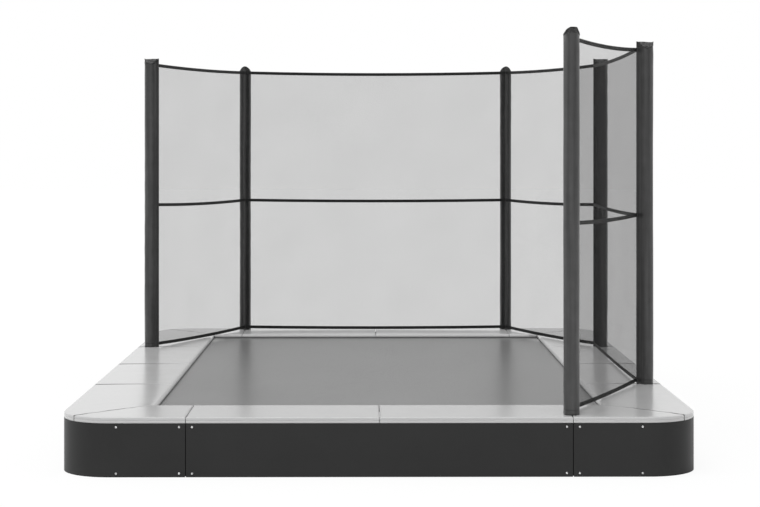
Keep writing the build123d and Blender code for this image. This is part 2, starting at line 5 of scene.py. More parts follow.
import bpy
import numpy as np
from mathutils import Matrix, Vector


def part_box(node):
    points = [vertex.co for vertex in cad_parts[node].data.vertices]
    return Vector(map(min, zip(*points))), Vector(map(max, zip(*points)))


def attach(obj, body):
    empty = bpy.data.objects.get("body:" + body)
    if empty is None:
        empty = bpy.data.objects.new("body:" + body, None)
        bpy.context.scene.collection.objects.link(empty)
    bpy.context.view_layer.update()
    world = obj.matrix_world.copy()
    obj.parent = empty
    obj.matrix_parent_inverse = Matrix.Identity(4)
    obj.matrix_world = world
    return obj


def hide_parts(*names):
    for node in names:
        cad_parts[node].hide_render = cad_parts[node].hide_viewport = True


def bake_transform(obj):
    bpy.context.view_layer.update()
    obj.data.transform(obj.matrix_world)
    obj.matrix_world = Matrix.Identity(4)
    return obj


# A rectangular trampoline that stands on the ground: light pads round a woven mat, a dark skirt
# below them, and a net on six padded poles that leaves the front left corner open.

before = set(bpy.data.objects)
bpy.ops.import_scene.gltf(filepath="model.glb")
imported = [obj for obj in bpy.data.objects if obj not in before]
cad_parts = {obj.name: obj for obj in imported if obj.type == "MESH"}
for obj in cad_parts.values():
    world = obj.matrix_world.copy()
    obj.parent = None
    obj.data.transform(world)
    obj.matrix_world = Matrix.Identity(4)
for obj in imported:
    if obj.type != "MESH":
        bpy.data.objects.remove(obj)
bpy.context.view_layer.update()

# ---- places read from the frame


def box(node):
    """Lowest and highest corner of a CAD node, as arrays."""
    low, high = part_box(node)
    return np.array(low), np.array(high)


def loose_boxes(node):
    """Lowest and highest corner of each separate solid in a CAD node."""
    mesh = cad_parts[node].data
    keys = [tuple(round(c, 5) for c in v.co) for v in mesh.vertices]
    parent = {key: key for key in keys}

    def root(key):
        while parent[key] != key:
            parent[key] = parent[parent[key]]
            key = parent[key]
        return key

    for polygon in mesh.polygons:
        corners = [keys[i] for i in polygon.vertices]
        for corner in corners[1:]:
            parent[root(corner)] = root(corners[0])
    groups = {}
    for key in parent:
        groups.setdefault(root(key), []).append(key)
    boxes = [(np.min(group, axis=0), np.max(group, axis=0)) for group in groups.values()]
    return sorted(boxes, key=lambda corners: tuple(corners[0]))


half_width = box("skirt_right")[1][0]
half_length = -box("skirt_front")[0][1]
lip_bottom = box("pads_front")[0][2]
pad_top = box("pads_front")[1][2]
pad_width = box("pads_front")[1][1] + half_length
rail_top = box("rail_front")[1][2]

# The directions along a side and inwards, its distance from the centre, half its own length,
# and the names of its ends
Side = namedtuple("Side", "along inwards distance half ends")
SIDES = {
    "front": Side((1, 0), (0, 1), half_length, half_width, ("left", "right")),
    "right": Side((0, 1), (-1, 0), half_width, half_length, ("front", "back")),
    "back": Side((-1, 0), (0, -1), half_length, half_width, ("right", "left")),
    "left": Side((0, -1), (1, 0), half_width, half_length, ("back", "front")),
}
# The poles in their order round the trampoline. Each one's name starts with its side.
POLES = ("front_right", "right_front", "right_back", "back_right", "back_left", "left_back")
# The nets, each of which runs from a pole to the next one
NETS = (
    "net_front_right_corner", "net_right_side", "net_back_right_corner", "net_back_side",
    "net_back_left_corner",
)


def on_side(side, along, inset, level):
    """Points in the shared frame, from places along a side and inwards from its outer edge."""
    a, n, distance, _, _ = SIDES[side]
    x = a[0] * along + n[0] * (inset - distance)
    y = a[1] * along + n[1] * (inset - distance)
    return np.stack(np.broadcast_arrays(x, y, level), axis=-1).astype(float)


def along_of(side, point):
    """How far along a side a point lies from the side's middle."""
    a = SIDES[side].along
    return point[0] * a[0] + point[1] * a[1]


def inset_of(side, point):
    """How far a point lies inwards of a side's outer edge."""
    n = SIDES[side].inwards
    return SIDES[side].distance + point[0] * n[0] + point[1] * n[1]


def side_of(pole):
    """The side that a pole stands on."""
    return SIDES[pole.split("_")[0]]


def pole_axis(name):
    """A pole's axis on the ground."""
    low, high = box(f"pole_{name}")
    return (low[:2] + high[:2]) / 2


pole_inset = half_length + pole_axis("front_right")[1]
pole_radius = (box("pole_front_right")[1][0] - box("pole_front_right")[0][0]) / 2
sleeve_high = box("pole_sleeves")[1]
sleeve_radius = sleeve_high[1] - (half_length - pole_inset)
# From a pole's axis inwards to the net that its sleeve carries
net_line = pole_axis("back_left")[1] - np.mean([corner[1] for corner in box("net_back_side")])

# ---- meshes


def unit(vectors):
    return vectors / np.linalg.norm(vectors, axis=-1, keepdims=True)


def add_object(name, data):
    """An object that puts a mesh, camera or lamp into the scene."""
    made = bpy.data.objects.new(name, data)
    bpy.context.scene.collection.objects.link(made)
    return made


def mesh_object(name, points, faces, materials, smooth=True, indices=None, weave=None):
    """A mesh piece. weave gives each point its place on the flat cloth, for the materials."""
    mesh = bpy.data.meshes.new(name)
    mesh.from_pydata([tuple(p) for p in points], [], [tuple(f) for f in faces])
    for material in materials:
        mesh.materials.append(material)
    if indices is not None:
        mesh.polygons.foreach_set("material_index", np.asarray(indices, np.int32))
    mesh.polygons.foreach_set("use_smooth", np.full(len(mesh.polygons), smooth))
    if weave is not None:
        attribute = mesh.attributes.new("weave", "FLOAT_VECTOR", "POINT")
        attribute.data.foreach_set("vector", np.asarray(weave, np.float32).ravel())
    mesh.validate()
    return add_object(name, mesh)


def grid_faces(rows, columns, first=0, wrap=False, flip=False):
    """Quads over a grid of points stored row by row, whose columns may wrap round."""
    faces = []
    for r in range(rows - 1):
        for c in range(columns if wrap else columns - 1):
            d = (c + 1) % columns
            here = first + r * columns
            above = here + columns
            quad = [here + c, here + d, above + d, above + c]
            faces.append(quad[::-1] if flip else quad)
    return faces


def tube_along(path, radius, sides, closed=False):
    """Points and faces of a round wire along a path."""
    path = np.asarray(path, float)
    ahead = np.roll(path, -1, axis=0) - path
    behind = path - np.roll(path, 1, axis=0)
    if not closed:
        ahead[-1] = behind[-1]
        behind[0] = ahead[0]
    tangent = unit(unit(ahead) + unit(behind))
    side = np.cross(tangent[0], (0.0, 0.0, 1.0))
    if np.linalg.norm(side) < 0.1:
        side = np.cross(tangent[0], (1.0, 0.0, 0.0))
    points = []
    angles = np.arange(sides) * 2 * pi / sides
    for place, direction in zip(path, tangent):
        side = unit(side - direction * side.dot(direction))
        other = np.cross(direction, side)
        for angle in angles:
            points.append(place + radius * (cos(angle) * side + sin(angle) * other))
    faces = grid_faces(len(path), sides, wrap=True)
    last = len(points) - sides
    if closed:
        faces += [[last + c, last + (c + 1) % sides, (c + 1) % sides, c] for c in range(sides)]
    else:
        faces += [range(sides)[::-1], range(last, last + sides)]
    return points, faces


class Heap:
    """Gathers the points and faces of many small shapes into one mesh."""

    def __init__(self):
        self.points = []
        self.faces = []

    def add(self, points, faces):
        first = len(self.points)
        self.points.extend(points)
        self.faces.extend([[first + i for i in face] for face in faces])


# ---- materials

# Greys of the surfaces, as linear values
SKIRT_LEVEL = 0.0265
VINYL_LEVEL = 0.5
MAT_LEVEL = 0.152
SLEEVE_LEVEL = 0.046
SLEEVE_DARK = 0.039  # the strip of a sleeve that faces the jumpers, drawn darker
CROWN_LEVEL = 0.012
WEBBING_LEVEL = 0.010
NET_LEVEL = 0.02

WEBBING_PAINTED_LIGHT = 6.0  # how much paler a band is painted on its outer face, as painted light
PAINTED_SHADE_SHARE = 0.03  # of the vinyl's tone, deep between two pads, where the painted shade is darkest
NET_COVER = 0.396  # the share of the net that its threads cover
NET_CONTRAST = 0.28
NET_PITCH = 0.006
MAT_RIBBON = 0.0042
CLOTH_PITCH = 0.0012


def feed(tree, socket, value):
    """Give a node's socket a value, or a link from another socket."""
    if isinstance(value, bpy.types.NodeSocket):
        tree.links.new(value, socket)
    else:
        socket.default_value = value


def add_node(tree, kind, inputs=None, **settings):
    """A shader node with its settings made and its inputs fed."""
    made = tree.nodes.new("ShaderNode" + kind)
    for key, value in settings.items():
        setattr(made, key, value)
    for key, value in (inputs or {}).items():
        feed(tree, made.inputs[key], value)
    return made


class Shader:
    """A grey Principled material and short ways to add nodes to it."""

    def __init__(self, name, level, roughness, **sockets):
        self.material = bpy.data.materials.new(name)
        self.material.use_nodes = True
        self.tree = self.material.node_tree
        self.node = partial(add_node, self.tree)
        self.surface = self.tree.nodes["Principled BSDF"]
        self.set(Base_Color=(level, level, level, 1.0), Roughness=roughness, **sockets)

    def set(self, **sockets):
        """Feed the surface's sockets, named with _ for a space."""
        for name, value in sockets.items():
            feed(self.tree, self.surface.inputs[name.replace("_", " ")], value)

    def place(self):
        """A point's own place, in metres."""
        return self.node("TexCoord").outputs["Object"]

    def woven(self):
        """A point's place on the flat cloth, in metres."""
        return self.node("Attribute", attribute_name="weave").outputs["Vector"]

    def stretched(self, vector, *scale):
        """A place with each of its axes multiplied by a factor."""
        return self.node("Mapping", {0: vector, 3: scale}).outputs[0]

    def math(self, operation, a, b=0.0):
        return self.node("Math", {0: a, 1: b}, operation=operation).outputs[0]

    def times(self, a, b):
        return self.math("MULTIPLY", a, b)

    def plus(self, a, b):
        return self.math("ADD", a, b)

    def split(self, vector):
        return self.node("SeparateXYZ", {0: vector}).outputs

    def noise(self, vector, scale, detail=3.0, roughness=0.5):
        inputs = {"Vector": vector, "Scale": scale, "Detail": detail, "Roughness": roughness}
        return self.node("TexNoise", inputs).outputs["Fac"]

    def wave(self, value, pitch):
        """A wave from -1 to 1 along a coordinate."""
        return self.math("SINE", self.times(value, 2 * pi / pitch))

    def ripple(self, value, pitch):
        """A wave from 0 to 1 along a coordinate."""
        return self.between(self.wave(value, pitch), -1, 1, 0, 1)

    def between(self, value, low, high, new_low, new_high):
        """A value's range mapped to a new one, and held at its ends."""
        inputs = {0: value, 1: low, 2: high, 3: new_low, 4: new_high}
        return self.node("MapRange", inputs).outputs[0]

    def vary(self, noise, low, high):
        """A value that wanders between two limits with a noise."""
        return self.between(noise, 0.3, 0.7, low, high)

    def shade(self, tone):
        """Colour the surface with the grey of a value."""
        self.set(Base_Color=self.node("CombineColor", {0: tone, 1: tone, 2: tone}).outputs[0])

    def bump(self, height, strength, distance):
        """Raise the surface by a height, and hand over the finished material."""
        made = self.node("Bump", {"Height": height, "Strength": strength, "Distance": distance})
        self.set(Normal=made.outputs["Normal"])
        return self.material


def steel_material(name, level, roughness):
    """Galvanised steel with a soft spangle."""
    s = Shader(name, level, roughness, Metallic=1.0)
    cells = s.node("TexVoronoi", {"Vector": s.place(), "Scale": 90.0}).outputs["Color"]
    cloud = s.noise(s.place(), 14.0)
    mixed = s.plus(s.times(s.split(cells)[0], 0.4), s.times(cloud, 0.6))
    s.shade(s.between(mixed, 0.2, 0.8, level * 0.82, level * 1.12))
    s.set(Roughness=s.between(mixed, 0.2, 0.8, roughness + 0.1, roughness - 0.08))
    return s.bump(cloud, 0.15, 0.0006)


def painted_material(name, level, roughness, shine=0.5):
    """Powder-coated plate with a fine orange peel."""
    s = Shader(name, level, roughness, Specular_IOR_Level=shine)
    grain = s.noise(s.place(), 900.0, 2.0)
    cloud = s.noise(s.place(), 9.0)
    s.shade(s.vary(cloud, level * 0.9, level * 1.15))
    return s.bump(grain, 0.2, 0.0003)


def skirt_material():
    """Dark composite panel: a faint grain, and dust towards its lower edge."""
    s = Shader("skirt_panel_finish", SKIRT_LEVEL, 0.42, Specular_IOR_Level=0.15)
    grain = s.noise(s.place(), 700.0, 3.0)
    cloud = s.noise(s.place(), 3.0, 4.0)
    height = s.split(s.place())[2]
    dust = s.between(height, 0.0, 0.09, 1.12, 1.0)
    s.shade(s.times(s.vary(cloud, SKIRT_LEVEL * 0.94, SKIRT_LEVEL * 1.06), dust))
    s.set(Roughness=s.vary(cloud, 0.40, 0.46))
    return s.bump(grain, 0.12, 0.0002)


def vinyl_material():
    """Glossy light vinyl with a fine grain, a thread line along its seams, and painted shade in the
    joints between pads.

    The weave's third value is the distance from the thread line, or below 0 the painted shade's depth.
    """
    s = Shader("pad_vinyl_finish", VINYL_LEVEL, 0.22)
    place = s.woven()
    cloud = s.noise(place, 4.0, 3.0)
    grain = s.noise(place, 900.0, 2.0)
    seam = s.split(place)[2]
    # Outside the painted shade the thread line shows; inside it, none.
    outside_painted_shade = s.between(seam, -0.02, 0.0, 0.0, 1.0)
    thread = s.times(s.between(seam, 0.0, 0.0012, 1.0, 0.0), outside_painted_shade)
    tone = s.vary(cloud, VINYL_LEVEL * 0.994, VINYL_LEVEL * 1.006)
    tone = s.times(tone, s.between(thread, 0.0, 1.0, 1.0, 0.8))
    # Painted shade: the tone darkens where the weave's third value is below 0, deep in the joints
    # between pads.
    s.shade(s.times(tone, s.between(seam, -1.0, 0.0, PAINTED_SHADE_SHARE, 1.0)))
    s.set(Roughness=s.vary(cloud, 0.21, 0.23))
    height = s.math("SUBTRACT", s.times(grain, 0.02), s.times(thread, 2.0))
    return s.bump(height, 0.05, 0.0006)


def mat_material():
    """Woven jumping fabric: flat ribbons over and under each other."""
    s = Shader("mat_weave_finish", MAT_LEVEL, 0.42)
    x, y, _ = s.split(s.place())
    across = s.ripple(x, MAT_RIBBON)
    along = s.ripple(y, MAT_RIBBON)
    under = s.times(s.math("SUBTRACT", 1.0, across), s.math("SUBTRACT", 1.0, along))
    weave = s.plus(s.times(across, along), under)
    cloud = s.noise(s.place(), 2.5, 4.0)
    streak = s.noise(s.stretched(s.place(), 60.0, 1.2, 1.0), 1.0, 2.0)
    mixed = s.plus(cloud, s.times(streak, 0.5))
    tone = s.between(mixed, 0.5, 1.0, MAT_LEVEL * 0.93, MAT_LEVEL * 1.07)
    s.shade(s.times(tone, s.between(weave, 0.2, 0.8, 0.92, 1.06)))
    s.set(Roughness=s.between(weave, 0.0, 1.0, 0.34, 0.26))
    return s.bump(weave, 0.12, 0.0003)


def cloth_material(name, level, shine):
    """Plain-woven dark fabric with faint streaks down its length, painted shade and light of soft
    creases.
    """
    s = Shader(name, level, 0.3, Specular_IOR_Level=shine)
    x, y, _ = s.split(s.woven())
    threads = s.times(s.ripple(x, CLOTH_PITCH), s.ripple(y, CLOTH_PITCH))
    cloud = s.noise(s.place(), 18.0, 4.0)
    fuzz = s.noise(s.woven(), 420.0, 2.0)
    streak = s.noise(s.stretched(s.woven(), 46.0, 2.0, 1.0), 1.0, 2.0)
    tone = s.between(cloud, 0.25, 0.75, level * 0.85, level * 1.15)
    # Painted shade and light: streaks down the sleeve stand for its soft creases.
    tone = s.times(tone, s.vary(streak, 0.74, 1.22))
    s.shade(s.times(tone, s.between(s.plus(threads, fuzz), 0.4, 1.4, 0.85, 1.12)))
    return s.bump(s.plus(threads, s.times(fuzz, 0.5)), 0.3, 0.0005)


def crown_material():
    """The gathered cloth that closes a sleeve: darker, and crumpled in soft dents, with painted shade
    in the dents and painted light on their crests.
    """
    s = Shader("sleeve_crown_cloth", CROWN_LEVEL, 0.34)
    dents = s.noise(s.place(), 75.0, 2.0, 0.55)
    fuzz = s.noise(s.woven(), 420.0, 2.0)
    # Painted shade and light: the tone follows the dents' height, dark in them and light on their
    # crests.
    s.shade(s.between(dents, 0.38, 0.66, CROWN_LEVEL * 0.5, CROWN_LEVEL * 2.4))
    return s.bump(s.plus(dents, s.times(fuzz, 0.03)), 1.0, 0.012)


def webbing_material():
    """Black webbing with fine ribs across its length, and painted light on the side that faces out."""
    s = Shader("webbing_finish", WEBBING_LEVEL, 0.55, Specular_IOR_Level=0.22)
    x, y, z = s.split(s.place())
    ribs = s.ripple(s.plus(s.times(x, 0.9), s.times(y, 1.1)), 0.0026)
    rows = s.ripple(z, 0.0032)
    cloud = s.noise(s.place(), 30.0)
    outwards = s.stretched(s.place(), 1.0, 1.0, 0.0)
    normal = s.node("NewGeometry").outputs["Normal"]
    facing = s.node("VectorMath", {0: normal, 1: outwards}, operation="DOT_PRODUCT").outputs["Value"]
    tone = s.vary(cloud, WEBBING_LEVEL * 0.8, WEBBING_LEVEL * 1.3)
    # Painted light: the face that turns outwards is drawn paler.
    s.shade(s.times(tone, s.between(facing, 0.3, 0.9, 1.0, WEBBING_PAINTED_LIGHT)))
    return s.bump(s.plus(ribs, s.times(rows, 0.6)), 0.4, 0.0004)


def net_material():
    """Fine diamond mesh: threads, and holes that let the background through."""
    s = Shader("net_mesh_finish", NET_LEVEL, 0.85, Specular_IOR_Level=0.05)
    x, y, _ = s.split(s.woven())
    diamonds = s.times(s.wave(x, NET_PITCH), s.wave(y, NET_PITCH))
    cloud = s.noise(s.woven(), 3.0, 3.0)
    cover = s.plus(NET_COVER, s.times(diamonds, NET_CONTRAST))
    s.set(Alpha=s.plus(cover, s.vary(cloud, -0.012, 0.012)))
    s.shade(s.vary(cloud, NET_LEVEL * 0.97, NET_LEVEL * 1.03))
    return s.bump(diamonds, 0.2, 0.0006)


def foam_material():
    """Closed-cell foam."""
    s = Shader("foam_finish", 0.08, 0.9)
    cells = s.node("TexVoronoi", {"Vector": s.place(), "Scale": 500.0}).outputs["Distance"]
    s.shade(s.between(cells, 0.0, 0.6, 0.06, 0.1))
    return s.bump(cells, 0.4, 0.0008)


galvanised = steel_material("galvanised_steel", 0.55, 0.42)
bright_zinc = steel_material("bright_zinc", 0.72, 0.3)
spring_steel = steel_material("spring_steel_finish", 0.62, 0.3)
# Near black: partly the brackets' own black, partly painted shade for the skirt's joints, where the
# brackets show.
black_plate_joint_shade = painted_material("black_plate_joint_shade_finish", 0.004, 0.6, shine=0.05)
black_plastic = painted_material("black_plastic_finish", 0.015, 0.55)
skirt_panel = skirt_material()
vinyl = vinyl_material()
mat_weave = mat_material()
sleeve_cloth = cloth_material("sleeve_cloth", SLEEVE_LEVEL, shine=0.5)
sleeve_dark = cloth_material("sleeve_inner_darker", SLEEVE_DARK, shine=0.4)
sleeve_crown = crown_material()
webbing = webbing_material()
net_mesh = net_material()
foam = foam_material()

# The finish of each CAD node: the first line with a prefix that fits its name
CAD_FINISH = (
    # The brackets: near black, with painted shade for the skirt's joints.
    (("pole_brackets", "corner_brackets"), black_plate_joint_shade),
    (("bracket_bolts", "skirt_bolts", "skirt_nuts"), bright_zinc),
    ("skirt_", skirt_panel),
    ("pole_caps", black_plastic),
    ("pole_foam", foam),
    (("rail_", "leg_", "pole_"), galvanised),
    (("net_band_", "mat_hem"), webbing),
    (("mat_rings", "springs_"), spring_steel),
    ("jumping_mat", mat_weave),
    ("pads_", vinyl),
    ("net_", net_mesh),
)


def finish_cad_nodes():
    """Give each CAD node its finish."""
    for name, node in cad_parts.items():
        material = next(finish for prefix, finish in CAD_FINISH if name.startswith(prefix))
        node.data.materials.clear()
        node.data.materials.append(material)


# ---- pads

LIP_THICKNESS = 0.009
FACE_SEAM_DROP = 0.0155  # from the pad's top to its outer seam
EDGE_ROUND = 0.0045
INNER_ROUND = 0.020  # the pillowed edge over the springs and mat
INNER_DROP = 0.0165
END_ROUND = 0.0055
END_DROP = 0.009
LONG_END_ROUND = 0.015  # at the outer edge of a long side's pads
PAD_CORNER_RADIUS = 0.253
PAD_CROWN = 0.0022
PAD_PLAY = 0.002  # between a pole and the notch in its pad
PAD_GAP = 0.0015  # half the gap between two pads
PAD_MITRE_GAP = 0.0022
PAD_THREAD = 0.008  # from a pad's end to the thread line along it
PUCKER = 0.0009  # how deep the cloth puckers along the mitre
MITRE_REACH = 0.05  # how far a mitred end reaches
# Where the rings of points near a pad's end lie, from that end
END_STEPS = (0.0, 0.0008, 0.0022, 0.0045, 0.008, 0.014, 0.026, 0.045)
# How deep the painted shade in the joints between pads is, from 0 to 1
LONG_END_PAINTED_SHADE = 0.95
MITRE_PAINTED_SHADE = 0.7


def pad_profile():
    """Inset and height of each point round a pad's section, and how far it feels the crown."""
    seam = pad_top - FACE_SEAM_DROP
    bottom = rail_top + 0.0003
    profile = [
        (LIP_THICKNESS, lip_bottom + 0.0006, 0), (0.004, lip_bottom, 0),
        (0.0014, lip_bottom + 0.0004, 0), (0.0003, lip_bottom + 0.002, 0),
        (0.0003, seam - 0.0022, 0), (0.0011, seam - 0.0008, 0),
        (0.0024, seam, 0), (0.0016, seam + 0.001, 0), (0.0006, seam + 0.0024, 0),
    ]
    for angle in np.linspace(0, pi / 2, 6):
        inset = EDGE_ROUND * (1 - cos(angle))
        level = pad_top - EDGE_ROUND * (1 - sin(angle)) * 0.85
        profile.append((inset, level - 0.0012 * (1 - sin(angle)), sin(angle) * 0.3))
    for share in np.linspace(0.03, 0.93, 18):
        profile.append((share * pad_width, pad_top, 1.0))
    for angle in np.linspace(pi / 2, 0, 9):
        inset = pad_width - 0.001 - INNER_ROUND * (1 - cos(angle))
        profile.append((inset, pad_top - INNER_DROP * (1 - sin(angle)), sin(angle) * 0.3))
    profile += [
        (pad_width - 0.0012, bottom + 0.003, 0), (pad_width - 0.004, bottom + 0.0002, 0),
        (pad_width * 0.5, bottom, 0), (LIP_THICKNESS + 0.002, bottom, 0),
        (LIP_THICKNESS + 0.0002, bottom - 0.001, 0),
    ]
    return np.array(profile)


def pad_waves(x, y):
    """The slight unevenness of a laid pad, in metres."""
    wave = np.sin(x * 9.1 + 1.3 * np.sin(y * 3.7)) + np.sin(y * 7.3 + 2.1 + 1.1 * np.sin(x * 4.9))
    return 0.00022 * wave


def pad_run(side, start, end, mitred, at_pole, insets):
    """Where a pad's straight stretch stops, its radius beyond that, and its two ends.

    The ends are distances from start. Two pads that meet at a pole are notched round it.
    """
    radius = np.maximum(PAD_CORNER_RADIUS - insets, 0.0)
    if mitred:
        straight = SIDES[side].half - insets - radius
        finish = straight - start + radius * pi / 4 - PAD_MITRE_GAP
    else:
        straight = np.full_like(insets, end)
        finish = straight - start
    begin = np.zeros_like(insets)
    notch = np.sqrt(np.maximum((pole_radius + PAD_PLAY) ** 2 - (insets - pole_inset) ** 2, 0.0))
    if at_pole and mitred:
        begin = notch
    elif at_pole:
        finish = finish - notch
    return straight, radius, begin, finish


def pad_rings(begin, finish, length):
    """Where a pad's rings of points lie, each with its distance from the pad's nearer end."""
    steps = np.array(END_STEPS)
    shares = np.linspace(0, 1, max(6, int(length / 0.05)) + 2)[1:-1]
    first, last = begin + steps[-1], finish - steps[-1]
    rings = [(begin + step, step) for step in steps]
    rings += [(first * (1 - share) + last * share, 1.0) for share in shares]
    rings += [(finish - step, step) for step in steps[::-1]]
    return rings


def line_across(side, sign, along, straight, radius, insets, levels):
    """A line across a pad, at a place along its side or turned round the outer corner."""
    bend = np.clip(along - straight, 0.0, None)
    angle = np.where(radius > 1e-6, bend / np.maximum(radius, 1e-6), 0.0)
    turned = np.minimum(along, straight) + radius * np.sin(angle)
    inset = insets + radius * (1 - np.cos(angle))
    return on_side(side, sign * turned, inset, levels)


def pad_painted_shade(insets, levels, outer, into_end, at_mitre, faces_front):
    """The painted shade on a pad's rounded end: little light reaches down between two pads."""
    on_top = levels > pad_top - EDGE_ROUND
    if at_mitre:
        # Painted shade along the mitre, waving along it.
        painted_shade = MITRE_PAINTED_SHADE * np.clip(np.where(on_top, into_end * 6, (into_end - 0.6) * 4), 0, 1)
        return painted_shade * (0.6 + 0.4 * np.sin(insets * 27 + 0.9))
    # Painted shade on a long side's pad ends, darkest at the outer edge, on the ends that face the
    # front only.
    return LONG_END_PAINTED_SHADE * outer ** 0.7 * np.clip(into_end * 6, 0, 1) * on_top * faces_front


def pad_piece(side, sign, start, end, mitred, at_pole, node, name):
    """One pad along a side. A mitred one runs round the corner's curve up to the mitre."""
    insets, levels, crown = pad_profile().T
    straight, radius, begin, finish = pad_run(side, start, end, mitred, at_pole, insets)
    across = insets / pad_width
    bulge = PAD_CROWN * (4 * across * (1 - across)) ** 0.6 * crown
    outer = np.clip(1 - across, 0, 1) * (side in ("left", "right"))
    end_round = END_ROUND + (LONG_END_ROUND - END_ROUND) * outer
    above_seam = levels > pad_top - FACE_SEAM_DROP
    rings = pad_rings(begin, finish, end - start)
    points = []
    weave = []
    for distance, from_end in rings:
        from_begin = distance - begin
        to_finish = finish - distance
        at_mitre = mitred and np.all(to_finish < MITRE_REACH)
        into_end = np.clip(1 - from_end / (END_ROUND if at_mitre else end_round), 0, 1)
        line = line_across(side, sign, start + distance, straight, radius, insets, levels)
        drop = END_DROP * (1 - np.sqrt(1 - into_end ** 2)) * np.clip(crown, 0.2, 1) * above_seam
        level = levels + bulge + pad_waves(line[:, 0], line[:, 1]) * crown - drop
        if mitred:
            pucker = np.sin(insets * 74 + 2.0 * np.sin(insets * 21)) * np.exp(-to_finish / 0.035)
            level = level + PUCKER * pucker * crown
        line[:, 2] = level
        points.append(line)
        thread = np.minimum(np.abs(from_begin - PAD_THREAD), np.abs(to_finish - PAD_THREAD))
        thread = np.where(crown > 0.9, thread, 1.0)
        at_begin = np.mean(from_begin) < np.mean(to_finish)
        faces_front = at_begin == (sign * SIDES[side].along[1] > 0)
        # Painted shade for the joint, carried as a value below 0 in the weave.
        painted_shade = pad_painted_shade(insets, levels, outer, into_end, at_mitre, faces_front)
        seam = np.where(painted_shade > 0, -painted_shade, thread)
        weave.append(np.stack([start + distance, insets, seam], axis=-1))
    count = len(insets)
    last = (len(rings) - 1) * count
    faces = grid_faces(len(rings), count, wrap=True, flip=sign < 0)
    faces += [range(count)[::-sign], range(last, last + count)[::sign]]
    pad = mesh_object(name, np.concatenate(points), faces, [vinyl], weave=np.concatenate(weave))
    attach(pad, "frame")
    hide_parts(node)


def make_pads():
    """Sixteen pads: towards each end of a side, a middle one and a corner one."""
    for side, (_, _, _, half, ends) in SIDES.items():
        pole = next(name for name in POLES if name.startswith(side))
        pole_along = abs(along_of(side, pole_axis(pole)))
        for sign, end in zip((-1, 1), ends):
            name = f"{side}_{end}"
            at_pole = name in POLES
            corner = name if side in ("front", "back") else f"{end}_{side}"
            pad_piece(side, sign, PAD_GAP, pole_along - PAD_GAP, False, at_pole,
                      f"pads_{side}", f"pad_{name}")
            pad_piece(side, sign, pole_along + PAD_GAP, half, True, at_pole,
                      f"pads_{corner}_corner", f"pad_{name}_corner")


# ---- sleeves

SLEEVE_LOFT = 0.0012  # how far the padding bulges past the plain sleeve
ARCH_HEIGHT = 0.037
ARCH_POWER = 1.5
BACK_ARCH_POWER = 2.2  # the back sleeves' tops are rounder
HEM_HEIGHT = 0.024
TAIL_ROOT = 0.026
BEAD_RADIUS = 0.004
PIPING_RADIUS = 0.0021
PIPING_SHARE = 0.975  # of the section, where its core runs
INNER_STRIP_SHARE = 0.70  # of the radius, where the dark strip starts
# The entrance sleeve's top: places across it, and shares of the arch's height
ENTRANCE_ARCH = (
    (-1.0, 0.0), (-0.9, 0.2), (-0.75, 0.42), (-0.52, 0.8), (-0.28, 0.98), (0.0, 1.0),
    (0.5, 0.985), (0.62, 0.93), (0.74, 0.6), (0.9, 0.3), (1.0, 0.0),
)
CLOTH, DARK_STRIP, CROWN = range(3)  # the places of a sleeve's materials

sleeve_bottom = pad_top + 0.0006
arch_base = sleeve_high[2] - ARCH_HEIGHT
arch_top = sleeve_high[2] - PIPING_RADIUS
body_height = arch_base - sleeve_bottom


def sleeve_section(radius):
    """Places round a sleeve's section: along the side, inwards, and along the outline."""
    root = np.arcsin(TAIL_ROOT / 2 / radius)
    angles = np.linspace(pi / 2 + root, 5 * pi / 2 - root, 38)
    arc = np.column_stack([radius * np.cos(angles), radius * np.sin(angles)])
    flank = np.array([(0.0086, 0.0), (0.0056, 0.36), (0.0042, 0.74)])
    start = radius * cos(root) + 0.0032
    flank[:, 1] = start + (net_line - start) * flank[:, 1]
    nose = [
        (BEAD_RADIUS * cos(a), net_line + BEAD_RADIUS * sin(a)) for a in np.linspace(0, pi, 6)
    ]
    section = np.concatenate([arc, flank, nose, flank[::-1] * (-1, 1)])
    steps = np.linalg.norm(np.diff(section, axis=0), axis=1)
    return section, np.concatenate([[0.0], np.cumsum(steps)])


